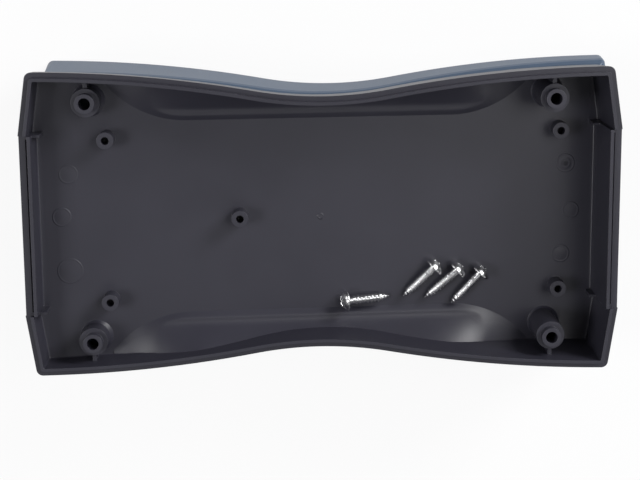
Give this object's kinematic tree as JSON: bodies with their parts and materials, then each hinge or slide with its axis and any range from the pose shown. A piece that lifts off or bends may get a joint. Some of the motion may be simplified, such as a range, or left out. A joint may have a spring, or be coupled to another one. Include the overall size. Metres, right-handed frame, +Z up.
{
  "type": "handheld enclosure",
  "caption": "Waisted handheld plastic enclosure, opened: wedge-shaped rear half with finger grooves, bosses and posts, lying back to back on its front half, with loose case screws.",
  "frame": {"origin": "middle of the box of the two halves, at the rim of the front half, which lies rim down", "axes": "+X along the case towards the deep end of the rear half, +Y across it, +Z up out of the open rear half"},
  "size_m": [0.1622, 0.0822, 0.0318],
  "materials": {
    "rear_plastic": "dark grey, fine satin moulding grain",
    "front_plastic": "blue-grey, fine satin moulding grain",
    "screw_zinc": "bright zinc plating"
  },
  "bodies": {
    "root": {"rear_shell": "rear_plastic", "front_shell": "front_plastic", "case_screws": "screw_zinc"}
  },
  "joints": []
}
